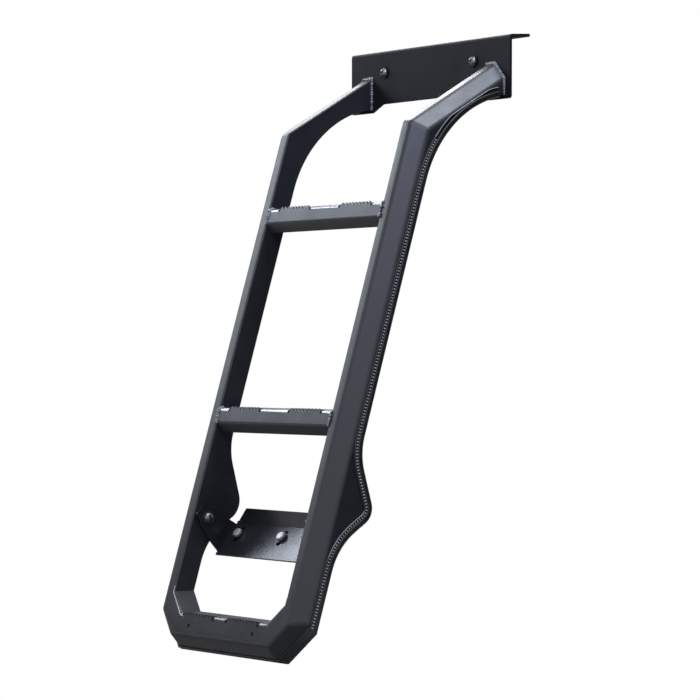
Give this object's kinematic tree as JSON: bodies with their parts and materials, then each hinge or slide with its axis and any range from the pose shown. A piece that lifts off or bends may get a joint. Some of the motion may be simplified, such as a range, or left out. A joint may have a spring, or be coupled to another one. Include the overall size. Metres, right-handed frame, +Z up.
{
  "type": "suv side ladder",
  "caption": "Folded-sheet side ladder for an off-road vehicle: leaning open-backed stiles with serrated rungs, an upper mounting plate with a rear flange and a tilting lower bracket.",
  "frame": {"origin": "centre of the upper mounting plate's back face, which bolts flat against the vehicle", "axes": "+X to the climber's right along the rungs, +Y towards the vehicle, +Z up; the climber stands on the -Y side"},
  "size_m": [0.36, 0.4162, 0.8689],
  "materials": {
    "powder_coat": "satin black powder coat",
    "edge_trim": "matte ribbed rubber",
    "black_hardware": "black oxide",
    "hardware": "zinc plated"
  },
  "bodies": {
    "ladder": {"top_plate": "powder_coat", "left_inner_plate": "powder_coat", "right_inner_plate": "powder_coat", "left_outer_plate": "powder_coat", "right_outer_plate": "powder_coat", "left_stile_fold": "powder_coat", "right_stile_fold": "powder_coat", "left_arm_fold": "powder_coat", "right_arm_fold": "powder_coat", "left_corner_shell": "powder_coat", "right_corner_shell": "powder_coat", "bottom_shell": "powder_coat", "left_corner_plate": "powder_coat", "right_corner_plate": "powder_coat", "upper_rung": "powder_coat", "lower_rung": "powder_coat", "bottom_step": "powder_coat", "left_edge_trim": "edge_trim", "right_edge_trim": "edge_trim", "bottom_edge_trim": "edge_trim", "left_roof_bolt": "black_hardware", "right_roof_bolt": "black_hardware", "left_roof_washer": "black_hardware", "right_roof_washer": "black_hardware", "left_tilt_bolt": "hardware", "right_tilt_bolt": "hardware", "left_tilt_nut": "hardware", "right_tilt_nut": "hardware", "left_tilt_spacer": "hardware", "right_tilt_spacer": "hardware"},
    "bracket": {"lower_bracket": "powder_coat", "left_bracket_bolt": "hardware", "middle_bracket_bolt": "hardware", "right_bracket_bolt": "hardware", "left_bracket_washer": "hardware", "middle_bracket_washer": "hardware", "right_bracket_washer": "hardware"}
  },
  "joints": [
    {"name": "bracket_tilt", "type": "hinge", "parent": "ladder", "child": "bracket", "pos_m": [0, -0.30447, -0.63599], "axis": [1, 0, 0], "range_deg": [-15, 45]}
  ]
}
